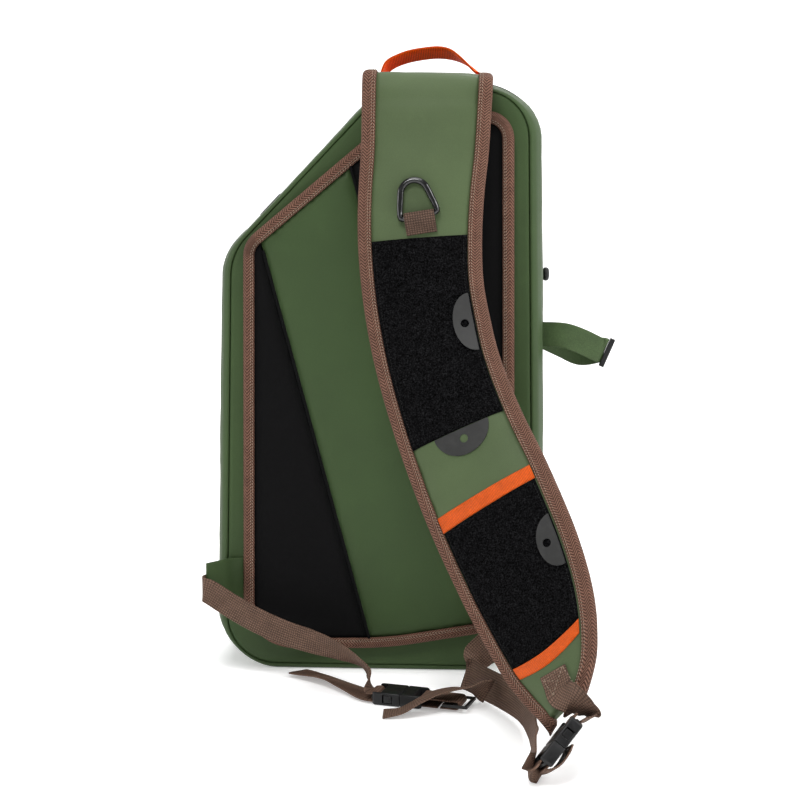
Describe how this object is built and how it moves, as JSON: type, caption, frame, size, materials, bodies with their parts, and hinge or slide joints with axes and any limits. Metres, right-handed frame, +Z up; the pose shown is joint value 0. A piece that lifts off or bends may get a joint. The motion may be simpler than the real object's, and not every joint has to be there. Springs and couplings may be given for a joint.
{
  "type": "fishing tackle sling bag",
  "caption": "Waterproof fishing tackle sling pack with a padded back, one broad shoulder strap, waist webbing, side-release buckles, carry handle and side loop",
  "frame": {"origin": "centre of the flat base on the floor", "axes": "+Z up, the padded back with its strap faces -Y, the bag's right edge as seen from the back pad is +X"},
  "size_m": [0.328, 0.382, 0.4982],
  "materials": {
    "green_tpu": "matte coated fabric",
    "green_edge_band": "matte coated band",
    "black_foam": "matte smooth foam face",
    "zip_tape": "satin coated tape",
    "loop_pile": "fine loop pile",
    "brown_binding": "herringbone weave",
    "brown_webbing": "ribbed nylon webbing",
    "orange_webbing": "glossy ribbed webbing",
    "grey_rubber": "satin",
    "black_plastic": "satin moulded"
  },
  "bodies": {
    "bag": {"bag_back_wall": "green_tpu", "bag_front_wall": "green_tpu", "bag_gusset": "green_tpu", "back_pad_centre": "green_tpu", "shoulder_strap_pad": "green_tpu", "wing_left": "green_tpu", "wing_right": "green_tpu", "side_loop": "green_edge_band", "back_pad_left": "black_foam", "back_pad_right": "black_foam", "zip_tape": "zip_tape", "strap_loop_patch_upper": "loop_pile", "strap_loop_patch_lower": "loop_pile", "back_pad_binding": "brown_binding", "strap_binding_left": "brown_binding", "strap_binding_right": "brown_binding", "d_ring_keeper": "brown_webbing", "main_webbing": "brown_webbing", "strap_end_webbing": "brown_webbing", "waist_webbing_left": "brown_webbing", "waist_webbing_right": "brown_webbing", "waist_loop": "brown_webbing", "orange_band_upper": "orange_webbing", "orange_band_lower": "orange_webbing", "carry_handle": "orange_webbing", "rubber_tab_upper": "grey_rubber", "rubber_tab_lower": "grey_rubber", "rubber_tab_middle": "grey_rubber", "side_stud": "black_plastic", "side_loop_bar": "black_plastic", "tri_glide": "black_plastic", "tip_buckle_socket": "black_plastic", "tip_buckle_plug": "black_plastic", "floor_buckle_socket": "black_plastic", "floor_buckle_plug": "black_plastic", "zip_chain": "black_plastic", "zip_slider": "black_plastic"},
    "d_ring": {"d_ring": "black_plastic"}
  },
  "joints": [
    {"name": "d_ring_swing", "type": "hinge", "parent": "bag", "child": "d_ring", "pos_m": [0.03427, -0.11019, 0.37247], "axis": [0.9736, 0.038, 0.2249], "range_deg": [0, 150]}
  ]
}
